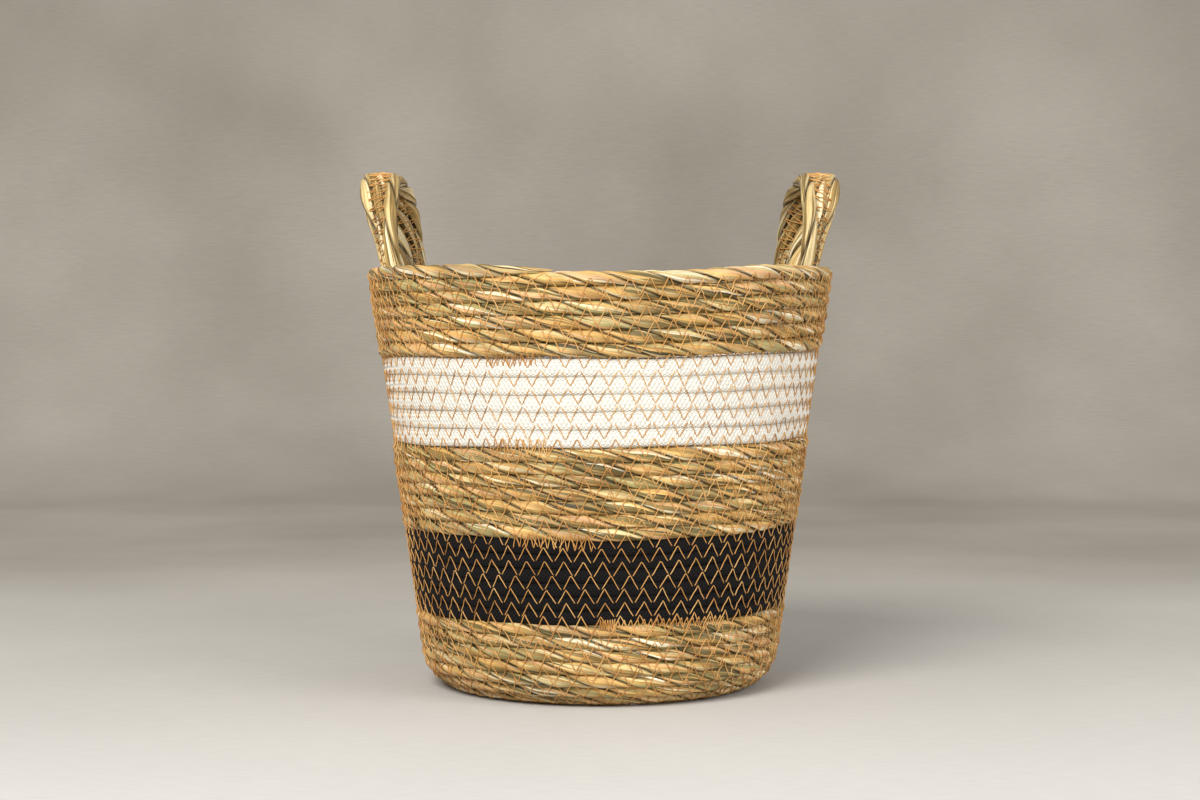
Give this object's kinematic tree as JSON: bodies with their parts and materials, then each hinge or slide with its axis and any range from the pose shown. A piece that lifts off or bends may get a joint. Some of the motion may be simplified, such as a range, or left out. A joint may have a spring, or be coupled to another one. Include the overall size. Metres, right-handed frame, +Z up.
{
  "type": "coiled market basket",
  "caption": "Round coiled basket of twisted seagrass cord with a white and a black cotton band, sewn row to row with tan thread, and two soft ribbon handles that flex at the rim.",
  "frame": {"origin": "centre of the base on the ground", "axes": "+Z up out of the basket, X from the left handle to the right handle, -Y towards the front, where the coil ends on the rim"},
  "size_m": [0.2864, 0.2779, 0.3099],
  "materials": {
    "seagrass": "matt twisted grass cord",
    "black_cotton": "soft braided cord",
    "white_cotton": "soft braided cord",
    "thread": "polyester sewing thread",
    "handle_grass": "smooth shiny grass cord"
  },
  "bodies": {
    "basket": {"base_coil": "seagrass", "lower_coil": "seagrass", "black_coil": "black_cotton", "middle_coil": "seagrass", "white_coil": "white_cotton", "upper_coil": "seagrass", "base_needle_thread": "thread", "base_bobbin_thread": "thread", "lower_needle_thread": "thread", "lower_bobbin_thread": "thread", "black_needle_thread": "thread", "black_bobbin_thread": "thread", "middle_needle_thread": "thread", "middle_bobbin_thread": "thread", "white_needle_thread": "thread", "white_bobbin_thread": "thread", "upper_needle_thread": "thread", "upper_bobbin_thread": "thread", "left_front_root": "handle_grass", "left_back_root": "handle_grass", "right_front_root": "handle_grass", "right_back_root": "handle_grass", "left_front_root_stitch": "thread", "left_back_root_stitch": "thread", "right_front_root_stitch": "thread", "right_back_root_stitch": "thread"},
    "left_handle": {"left_handle_outer_cord": "handle_grass", "left_handle_middle_cord": "handle_grass", "left_handle_inner_cord": "handle_grass", "left_handle_stitch": "thread"},
    "right_handle": {"right_handle_outer_cord": "handle_grass", "right_handle_middle_cord": "handle_grass", "right_handle_inner_cord": "handle_grass", "right_handle_stitch": "thread"}
  },
  "joints": [
    {"name": "left_handle_fold", "type": "hinge", "parent": "basket", "child": "left_handle", "pos_m": [-0.11985, 0.00838, 0.24737], "axis": [-0.0698, -0.9976, 0], "range_deg": [-25, 20], "stiffness_Nm_per_rad": 0.2},
    {"name": "right_handle_fold", "type": "hinge", "parent": "basket", "child": "right_handle", "pos_m": [0.11985, 0.00838, 0.24737], "axis": [-0.0698, 0.9976, 0], "range_deg": [-25, 20], "stiffness_Nm_per_rad": 0.2}
  ]
}
